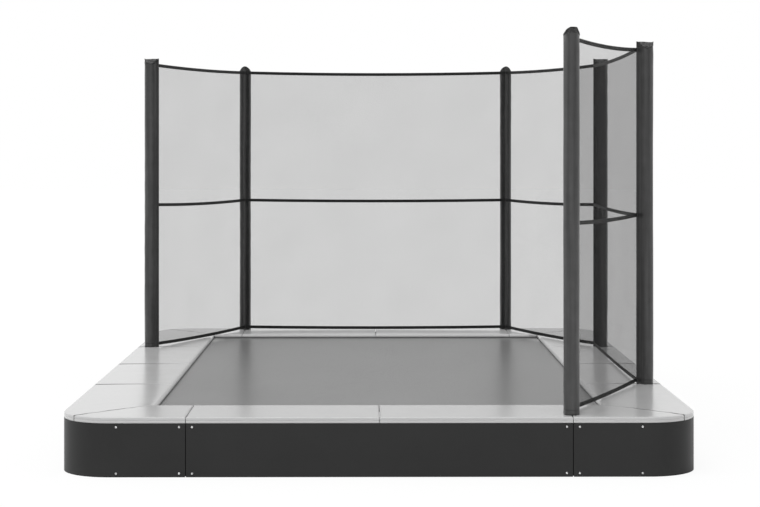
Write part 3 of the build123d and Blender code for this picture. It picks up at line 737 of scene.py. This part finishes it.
class Sleeve:
    """A padded sleeve with an arched top, and the pinched tail that the net is sewn to."""

    def __init__(self, name):
        self.name = name
        self.along, self.inwards = side_of(name)[:2]
        self.axis = pole_axis(name)
        self.radius = sleeve_radius + SLEEVE_LOFT
        self.section, self.lengths = sleeve_section(self.radius)
        self.turns = np.arctan2(self.section[:, 1], self.section[:, 0])
        self.outward = unit(self.section)
        self.in_tail = np.clip((self.section[:, 1] - self.radius * 0.93) / 0.006, 0, 1)
        seed = sum(ord(letter) for letter in name)
        self.phases = np.random.default_rng(seed).uniform(0, 2 * pi, 12)
        self.rings, self.weave, self.marks = [], [], []

    def laid(self, plan, levels):
        """Points in the shared frame, from places along the side and inwards from the pole."""
        ground = self.axis + np.outer(plan[:, 0], self.along) + np.outer(plan[:, 1], self.inwards)
        return np.column_stack([ground, np.broadcast_to(levels, len(plan))])

    def roof(self, scale):
        """Levels of the closed top over the section scaled about the pole."""
        across = self.section[:, 0] * scale / self.radius
        if self.name == "front_right":
            places, shares = zip(*ENTRANCE_ARCH)
            share = np.interp(across, places, shares)
        else:
            power = BACK_ARCH_POWER if self.name.startswith("back") else ARCH_POWER
            share = 1 - np.minimum(np.abs(across), 1.0) ** power
        return arch_base + (arch_top - arch_base) * share

    def wrinkle(self, height):
        """How far the cloth stands out round the section, at a height above its hem."""
        turns, phases = self.turns, self.phases
        below_top = body_height - height
        # Gathers at the foot, above it and under the arch
        depth = 0.0012 * np.exp(-height / 0.09) * np.sin(turns * 6 + phases[0] + height * 34)
        depth += 0.0007 * np.exp(-height / 0.25) * np.sin(turns * 4 + phases[1] - height * 14)
        depth += 0.0012 * np.exp(-below_top / 0.05) * np.sin(turns * 5 + phases[8] + height * 40)
        # Slack and creases that run up the whole sleeve
        depth += 0.0005 * np.sin(turns * 2 + phases[2] + height * 3.1)
        depth += 0.0004 * np.sin(turns * 3 + phases[3] - height * 5.3 + np.sin(height * 11))
        depth += 0.0004 * np.sin(turns * 8 + phases[11] + 0.7 * np.sin(height * 3 + phases[4]))
        if self.name == "right_front":
            depth += self.foot_folds(height)
        # Folds across the sleeve, in some stretches only
        fold = 0.0005 * np.sin(height * 46 + 3 * np.sin(turns + phases[4]))
        return depth + fold * np.clip(sin(height * 2.3 + phases[5]), 0, 1) - 0.0002

    def foot_folds(self, height):
        """Slanting folds near the foot of the sleeve by the entrance, and one more crease."""
        around = self.turns % (2 * pi) - 2.95
        near_foot = np.exp(-((height - 0.15) / 0.10) ** 2 - (around / 0.4) ** 2)
        folds = 0.0014 * near_foot * np.sin(height * 100 - 6 * self.turns)
        return folds + 0.0004 * np.sin(self.turns * 8 + 1.2 + 0.6 * sin(height * 4))

    def ring(self, scale, depth, levels, mark):
        """One ring of the skin: the section scaled about the pole, standing out by depth."""
        level = np.mean(levels)
        sway = 0.0009 * sin(level * 9 + self.phases[6])
        sway += 0.0004 * sin(level * 31 + self.phases[7])
        plan = self.section * scale + self.outward * (depth * (1 - self.in_tail))[:, None]
        plan[:, 0] += sway * self.in_tail
        points = self.laid(plan, levels)
        self.rings.append(points)
        self.weave.append(np.column_stack([self.lengths, points[:, 2], 0 * self.lengths]))
        self.marks.append(mark)

    def add_body(self):
        """Rings from the hem to the arch's base; the hem's stitching pulls a groove."""
        hem = [0.0, 0.0012, 0.0035, 0.009, 0.015, 0.020]
        groove = [HEM_HEIGHT - 0.0016, HEM_HEIGHT, HEM_HEIGHT + 0.0016]
        body = [0.029, 0.034, 0.042, 0.052, *np.arange(0.064, body_height - 0.05, 0.016)]
        neck = list(body_height - np.array([0.044, 0.034, 0.026, 0.018, 0.010]))
        for height in hem + groove + body + neck:
            depth = self.wrinkle(height)
            if height < 0.003:
                depth = depth - 0.002 * (1 - height / 0.003)
            if abs(height - HEM_HEIGHT) < 0.001:
                depth = depth - 0.0013
            self.ring(1.0, depth, sleeve_bottom + height, "edge" if height < 0.001 else "body")

    def add_crown(self):
        """Rings up the arch to its rim, and then in over the closed top."""
        for share in (0.1, 0.28, 0.46, 0.64, 0.82, 1.0):
            levels = (arch_base - 0.004) * (1 - share) + (self.roof(1.0) - 0.0006) * share
            dents = 0.0016 * np.sin(self.turns * 5 + self.phases[10] + share * 7) * sin(pi * share)
            depth = self.wrinkle(body_height) * (1 - 0.6 * share) + dents
            self.ring(1.0, depth, levels, "body" if share < 0.2 else "crown")
        for scale in (0.97, 0.9, 0.76, 0.58, 0.38, 0.18):
            dent = 0.0012 * np.sin(self.turns * 3 + self.phases[9]) * sin(pi * scale)
            self.ring(scale, 0.0, self.roof(scale) - 0.0004 + dent, "crown")

    def faces(self):
        """The skin's faces, and which material each of them has."""
        count = len(self.section)
        last = (len(self.rings) - 1) * count
        indices = []
        for ring, mark in zip(self.rings[:-1], self.marks):
            height = ring[0][2] - sleeve_bottom
            seam = mark == "edge" or (mark == "body" and abs(height - HEM_HEIGHT) < 0.0018)
            for c in range(count):
                reach = (self.section[c, 1] + self.section[(c + 1) % count, 1]) / 2
                dark = seam or reach > self.radius * INNER_STRIP_SHARE
                indices.append(CROWN if mark == "crown" else DARK_STRIP if dark else CLOTH)
        faces = grid_faces(len(self.rings), count, wrap=True)
        faces += [range(last, last + count), range(count)[::-1]]
        return faces, indices + [CROWN, DARK_STRIP]


def sleeve_piece(name):
    """One sleeve, with a thin cord of piping round its arch's rim."""
    sleeve = Sleeve(name)
    sleeve.add_body()
    sleeve.add_crown()
    faces, indices = sleeve.faces()
    skin = Heap()
    skin.add(np.concatenate(sleeve.rings), faces)
    rim = sleeve.laid(sleeve.section * PIPING_SHARE, sleeve.roof(1.0))
    piping, faces = tube_along(rim, PIPING_RADIUS, 7, closed=True)
    skin.add(piping, faces)
    indices += [CROWN] * len(faces)
    weave = [*np.concatenate(sleeve.weave), *((p[0] + p[1], p[2], 0.0) for p in piping)]
    materials = [sleeve_cloth, sleeve_dark, sleeve_crown]
    piece = mesh_object(f"sleeve_{name}", skin.points, skin.faces, materials,
                        indices=indices, weave=weave)
    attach(piece, "frame")
    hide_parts("pole_sleeves")


# ---- net

BAND_WIDTH = 0.020
NET_HEM = 0.002  # how far the net reaches past its outer bands
NET_BELLY = 0.004  # how far it bulges out between two bands


def span_bands(start, end):
    """The level at the poles and the sag of each band between two poles, from the bottom up."""
    middle = (start + end) / 2
    bands = []
    for place in ("bottom", "middle", "top"):
        boxes = loose_boxes(f"net_band_{place}")
        low, high = min(boxes, key=lambda b: hypot(*((b[0] + b[1]) / 2)[:2] - middle))
        bands.append((high[2] - BAND_WIDTH / 2, high[2] - low[2] - BAND_WIDTH))
    return bands


def net_piece(span, poles):
    """The net between two poles: it sags with its bands and bellies a little between them."""
    start, end = [pole_axis(pole) + net_line * np.array(side_of(pole).inwards) for pole in poles]
    length = hypot(*(end - start))
    along = (end - start) / length
    outwards = np.array([along[1], -along[0]])
    levels, sags = zip(*span_bands(start, end))
    bottom = levels[0] - BAND_WIDTH / 2 - NET_HEM
    top = levels[2] + BAND_WIDTH / 2 + NET_HEM
    inner = BEAD_RADIUS * 0.6
    rows = 60
    columns = max(24, int(length / 0.04))
    points = []
    weave = []
    for level in np.linspace(bottom, top, rows + 1):
        sag = np.interp(level, levels, sags)
        part = np.interp(level, levels, [0.0, 1.0, 2.0]) % 1.0
        belly = NET_BELLY * sin(pi * part) ** 2
        for c in range(columns + 1):
            u = c / columns
            distance = inner + (length - 2 * inner) * u
            drop = sag * 4 * u * (1 - u)
            push = belly * sin(pi * u) + 0.0006 * sin(distance * 23 + level * 7)
            x, y = start + along * distance + outwards * push
            points.append((x, y, level - drop))
            weave.append((distance, level, 0.0))
    faces = grid_faces(rows + 1, columns + 1)
    name = span.replace("net_", "net_cloth_")
    piece = mesh_object(name, points, faces, [net_mesh], weave=weave)
    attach(piece, "frame")
    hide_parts(span)


# ---- springs and rings

SPRING_WIRE = 0.0035
SPRING_RADIUS = 0.011
SPRING_TURNS = 30
SPRING_NECK = 0.014  # from a hook to the coil
SPRING_TAPER = 0.016  # over which the coil widens
# A hook's path: places towards the coil, and levels below the spring's axis
SPRING_HOOK = ((0.0, -0.010), (0.0, -0.004), (0.0012, -0.0012), (0.004, 0.0), (0.011, 0.0))
RING_WIRE = 0.00225
RING_TIP_BEND = 0.0045
RING_BASE_BEND = 0.004


def spring_places(side):
    """Where the springs stand along a side, and the insets of their hooks."""
    centres = [(low + high) / 2 for low, high in loose_boxes(f"springs_{side}")]
    insets = [inset_of(side, corner) for corner in box(f"springs_{side}")]
    return sorted(along_of(side, centre) for centre in centres), min(insets), max(insets)


def spring_shape(rail_hook, mat_hook):
    """A close-wound coil spring with tapered ends and a hook at each, along the inset."""
    start = rail_hook + SPRING_NECK
    end = mat_hook - SPRING_NECK
    steps = SPRING_TURNS * 9
    path = [(0, rail_hook + reach, level) for reach, level in SPRING_HOOK]
    for i in range(steps + 1):
        share = i / steps
        inset = start + (end - start) * share
        room = min(inset - start, end - inset)
        widening = min(1.0, 0.12 + 0.88 * room / SPRING_TAPER)
        radius = (SPRING_RADIUS - SPRING_WIRE / 2) * widening
        angle = 2 * pi * SPRING_TURNS * share
        path.append((radius * sin(angle), inset, radius * cos(angle)))
    path += [(0, mat_hook - reach, level) for reach, level in reversed(SPRING_HOOK)]
    return tube_along(path, SPRING_WIRE / 2, 5)


def make_springs():
    """Coil springs, one mesh for each side, between the frame and the mat."""
    for side in SIDES:
        places, rail_edge, mat_edge = spring_places(side)
        rail_hook = rail_edge + SPRING_WIRE / 2
        mat_hook = mat_edge - SPRING_WIRE / 2
        level = box(f"springs_{side}")[1][2] - SPRING_RADIUS
        points, faces = spring_shape(rail_hook, mat_hook)
        across, inset, rise = np.array(points).T
        heap = Heap()
        for along in places:
            heap.add(on_side(side, along + across, inset, level + rise), faces)
        piece = mesh_object(f"coil_springs_{side}", heap.points, heap.faces, [spring_steel])
        start = on_side(side, 0.0, rail_hook, level)
        end = on_side(side, 0.0, mat_hook, level)
        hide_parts(f"springs_{side}")
        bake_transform(piece)


def rounded_triangle(corners):
    """A closed path through a triangle's corners, each rounded by its own bend."""
    path = []
    for i, (x, y, bend) in enumerate(corners):
        here = np.array([x, y])
        before = unit(np.array(corners[i - 1][:2]) - here)
        after = unit(np.array(corners[(i + 1) % 3][:2]) - here)
        half_angle = np.arccos(np.clip(before.dot(after), -1, 1)) / 2
        reach = bend / np.tan(half_angle)
        for t in np.linspace(0, 1, 5):
            path.append(here + before * reach * (1 - t) ** 2 + after * reach * t ** 2)
    return np.array(path)


def make_rings():
    """Triangular wire rings between the springs' hooks and the hem's loops."""
    heap = Heap()
    boxes = loose_boxes("mat_rings")
    for side in SIDES:
        places, _, mat_edge = spring_places(side)
        for along in places:
            spot = on_side(side, along, mat_edge, 0.0)
            low, high = min(boxes, key=lambda b: hypot(*((b[0] + b[1]) / 2 - spot)[:2]))
            tip, base = sorted([inset_of(side, low), inset_of(side, high)])
            half = abs(along_of(side, high - low)) / 2 - RING_WIRE
            across, inset = rounded_triangle([
                (0, tip + RING_WIRE, RING_TIP_BEND), (half, base - RING_WIRE, RING_BASE_BEND),
                (-half, base - RING_WIRE, RING_BASE_BEND),
            ]).T
            path = on_side(side, along + across, inset, (low[2] + high[2]) / 2)
            heap.add(*tube_along(path, RING_WIRE, 6, closed=True))
    piece = mesh_object("wire_rings", heap.points, heap.faces, [spring_steel])
    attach(piece, "mat")
    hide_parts("mat_rings")


# ---- jumping mat

MAT_CORNER = 0.060
MAT_SINK = 0.0002  # from the solid's top down to the cloth
HEM_WIDTH = 0.0455
HEM_RISE = 0.0004  # of the doubled hem over the mat
STITCH_LINES = (0.040, 0.047)  # from the mat's edge
STITCH_DEPTH = 0.0006
STITCH_WIDTH = 0.0006


def mat_lines(half, count):
    """Where the mat's mesh lines lie on one axis: even, but close at its edge and stitching."""
    fine = [0.0, 0.001, 0.003, MAT_CORNER]
    fine += [line + step for line in STITCH_LINES for step in (-0.0015, -0.0008, 0.0, 0.0008, 0.0015)]
    lines = {round(sign * (half - inset), 5) for inset in fine for sign in (-1, 1)}
    return sorted(lines | set(np.linspace(-half + 0.1, half - 0.1, count)))


def round_in(x, y, half_x, half_y):
    """A place on a rectangle, drawn in where the rectangle's corners are round."""
    past_x = abs(x) - (half_x - MAT_CORNER)
    past_y = abs(y) - (half_y - MAT_CORNER)
    if past_x <= 0 or past_y <= 0:
        return x, y
    shrink = max(past_x, past_y) / hypot(past_x, past_y)
    return (np.sign(x) * (half_x - MAT_CORNER + past_x * shrink),
            np.sign(y) * (half_y - MAT_CORNER + past_y * shrink))


def mat_top(half_x, half_y, top):
    """Points and faces of the mat's upper side, and the points round its rim."""
    xs = mat_lines(half_x, 40)
    ys = mat_lines(half_y, 60)
    points = []
    for y in ys:
        for x in xs:
            edge = min(half_x - abs(x), half_y - abs(y))
            into = [np.exp(-((edge - line) / STITCH_WIDTH) ** 2) for line in STITCH_LINES]
            level = top - STITCH_DEPTH * sum(into) - (HEM_RISE if edge >= HEM_WIDTH else 0.0)
            points.append((*round_in(x, y, half_x, half_y), level - MAT_SINK))
    columns, rows = len(xs), len(ys)
    rim = list(range(columns))
    rim += [r * columns + columns - 1 for r in range(1, rows)]
    rim += [(rows - 1) * columns + c for c in range(columns - 2, -1, -1)]
    rim += [r * columns for r in range(rows - 2, 0, -1)]
    return points, grid_faces(rows, columns), rim


def make_mat():
    """The jumping mat: woven cloth with a turned hem and two lines of stitching."""
    low, high = box("jumping_mat")
    half_x, half_y, top = high
    points, faces, rim = mat_top(half_x, half_y, top)
    count = len(rim)
    loop = rim
    for shrink in (0.0, 0.003):
        below = list(range(len(points), len(points) + count))
        points += [
            (points[i][0] * (1 - shrink / half_x), points[i][1] * (1 - shrink / half_y), low[2])
            for i in rim
        ]
        for k in range(count):
            following = (k + 1) % count
            faces.append([loop[k], below[k], below[following], loop[following]])
        loop = below
    faces.append(loop[::-1])
    piece = mesh_object("woven_mat", points, faces, [mat_weave])
    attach(piece, "mat")
    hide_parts("jumping_mat")


# ---- bolts

BOLT_RADIUS = 0.0055
BOLT_HEIGHT = 0.0030
BOLT_SINK = 0.0002  # how far the head is pressed into the panel
SHANK_RADIUS = 0.003
SOCKET_RADIUS = 0.0021
SOCKET_DEPTH = 0.0014
BOLT_SIDES = 24


def bolt_shape(shank_end):
    """Points and faces of a button-head bolt with a hexagon socket, along the inset."""
    head = [
        (BOLT_RADIUS, 0.0), (BOLT_RADIUS, -0.0004), (BOLT_RADIUS * 0.93, -0.0014),
        (BOLT_RADIUS * 0.78, -0.0023), (BOLT_RADIUS * 0.55, -0.0029),
        (SOCKET_RADIUS * 1.12, -BOLT_HEIGHT),
    ]
    angles = 2 * pi * np.arange(BOLT_SIDES) / BOLT_SIDES
    hexagon = SOCKET_RADIUS * cos(pi / 6) / np.cos(angles % (pi / 3) - pi / 6)
    rings = [(radius, rise - BOLT_SINK) for radius, rise in head]
    rings += [(hexagon, rise - BOLT_SINK) for rise in (-BOLT_HEIGHT, -BOLT_HEIGHT + SOCKET_DEPTH)]
    shank = len(rings) * BOLT_SIDES
    faces = grid_faces(len(rings), BOLT_SIDES, wrap=True)
    faces.append(range(shank - BOLT_SIDES, shank))
    rings += [(SHANK_RADIUS, -BOLT_SINK), (SHANK_RADIUS, shank_end)]
    for c in range(BOLT_SIDES):
        d = (c + 1) % BOLT_SIDES
        faces.append([shank + c, shank + d, d, c])
    faces += grid_faces(2, BOLT_SIDES, first=shank, wrap=True, flip=True)
    faces.append(range(shank + BOLT_SIDES, shank + 2 * BOLT_SIDES)[::-1])
    points = [
        np.column_stack([radius * np.cos(angles), np.full(BOLT_SIDES, inset), radius * np.sin(angles)])
        for radius, inset in rings
    ]
    return np.concatenate(points), faces


def make_skirt_bolts():
    """The bolts that hold the skirt, each on the side whose outer face it lies in."""
    heap = Heap()
    for low, high in loose_boxes("skirt_bolts"):
        side = min(SIDES, key=lambda s: abs(min(inset_of(s, low), inset_of(s, high))))
        centre = (low + high) / 2
        points, faces = bolt_shape(max(inset_of(side, low), inset_of(side, high)))
        across, inset, rise = points.T
        heap.add(on_side(side, along_of(side, centre) + across, inset, centre[2] + rise), faces)
    piece = mesh_object("button_head_bolts", heap.points, heap.faces, [bright_zinc], smooth=False)
    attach(piece, "frame")
    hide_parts("skirt_bolts")


# ---- camera, floor and light

CAMERA_PLACE = (-0.060, -10.742, 1.570)
CAMERA_TURN = -0.0072
CAMERA_LENS = 84.9
CAMERA_SHIFT_Y = -0.1365
FLOOR_REACH = 60.0
FLOOR_DROP = 0.0004  # below the object's feet
FLOOR_GLOW = 0.9  # how much of the floor's look is plain white
WORLD_STRENGTH = 0.7
SUN_STRENGTH = 1.6
SUN_ANGLE = radians(50)
SUN_FROM = (-0.3, -0.2, 1.0)
# The room that reflections see: azimuth in turns from behind the object, and strength
ROOM = (
    (0.0, 1.0), (0.28, 1.0), (0.32, 0.1), (0.40, 0.1), (0.45, 1.0), (0.55, 1.0),
    (0.60, 0.0), (0.68, 0.0), (0.72, 1.0), (1.0, 1.0),
)


def make_camera():
    """A long lens, level, in front of the trampoline."""
    data = bpy.data.cameras.new("camera")
    data.lens = CAMERA_LENS
    data.sensor_width = 36.0
    data.shift_y = CAMERA_SHIFT_Y
    camera = add_object("camera", data)
    camera.location = CAMERA_PLACE
    camera.rotation_euler = (pi / 2, 0.0, CAMERA_TURN)
    bpy.context.scene.camera = camera


def make_floor():
    """A white floor that keeps a faint shadow of the object."""
    corners = [(-1, -1), (1, -1), (1, 1), (-1, 1)]
    points = [(FLOOR_REACH * x, FLOOR_REACH * y, -FLOOR_DROP) for x, y in corners]
    s = Shader("studio_floor", 0.93, 0.9)
    glow = s.node("Emission", {"Color": (1, 1, 1, 1), "Strength": 1.0})
    share = s.times(s.node("LightPath").outputs["Is Camera Ray"], FLOOR_GLOW)
    mix = s.node("MixShader", {0: share, 1: s.surface.outputs[0], 2: glow.outputs[0]})
    s.tree.links.new(mix.outputs[0], s.tree.nodes["Material Output"].inputs["Surface"])
    floor = mesh_object("studio_floor", points, [[0, 1, 2, 3]], [s.material], smooth=False)


def make_world():
    """A white room with two darker screens that only reflections see."""
    world = bpy.data.worlds.new("studio")
    bpy.context.scene.world = world
    world.use_nodes = True
    tree = world.node_tree
    tree.nodes.clear()
    node = partial(add_node, tree)
    path = node("LightPath").outputs
    direction = node("SeparateXYZ", {0: node("TexCoord").outputs["Generated"]}).outputs
    turned = node("Math", {0: direction[1], 1: -1.0}, operation="MULTIPLY")
    azimuth = node("Math", {0: direction[0], 1: turned.outputs[0]}, operation="ARCTAN2")
    place = node("MapRange", {0: azimuth.outputs[0], 1: -pi, 2: pi})
    screens = node("ValToRGB", {0: place.outputs[0]})
    ramp = screens.color_ramp
    ramp.interpolation = "EASE"
    while len(ramp.elements) < len(ROOM):
        ramp.elements.new(0.5)
    for element, (position, level) in zip(ramp.elements, ROOM):
        element.position = position
        element.color = (level, level, level, 1)
    white = node("Background", {"Color": (1, 1, 1, 1), "Strength": 1.0})
    mirrored = node("Background", {"Color": screens.outputs["Color"], "Strength": 1.0})
    lit = node("Background", {"Color": (1, 1, 1, 1), "Strength": WORLD_STRENGTH})
    straight_rays = {0: path["Is Camera Ray"], 1: path["Is Transmission Ray"]}
    seen = node("Math", straight_rays, operation="MAXIMUM").outputs[0]
    shine = node("MixShader", {0: path["Is Glossy Ray"], 1: lit.outputs[0], 2: mirrored.outputs[0]})
    mix = node("MixShader", {0: seen, 1: shine.outputs[0], 2: white.outputs[0]})
    node("OutputWorld", {"Surface": mix.outputs[0]})


def make_sun():
    """One broad soft lamp from above, a little to the left and the front."""
    lamp = bpy.data.lights.new("soft_sun", "SUN")
    lamp.angle = SUN_ANGLE
    lamp.energy = SUN_STRENGTH
    sun = add_object("soft_sun", lamp)
    sun.rotation_euler = Vector(SUN_FROM).to_track_quat("Z", "Y").to_euler()


make_camera()
bpy.context.scene.view_settings.view_transform = "Standard"
make_floor()
make_world()
make_sun()
finish_cad_nodes()
make_pads()
for pole_name in POLES:
    sleeve_piece(pole_name)
for span_name, span_poles in zip(NETS, zip(POLES, POLES[1:])):
    net_piece(span_name, span_poles)
make_mat()
make_springs()
make_rings()
make_skirt_bolts()
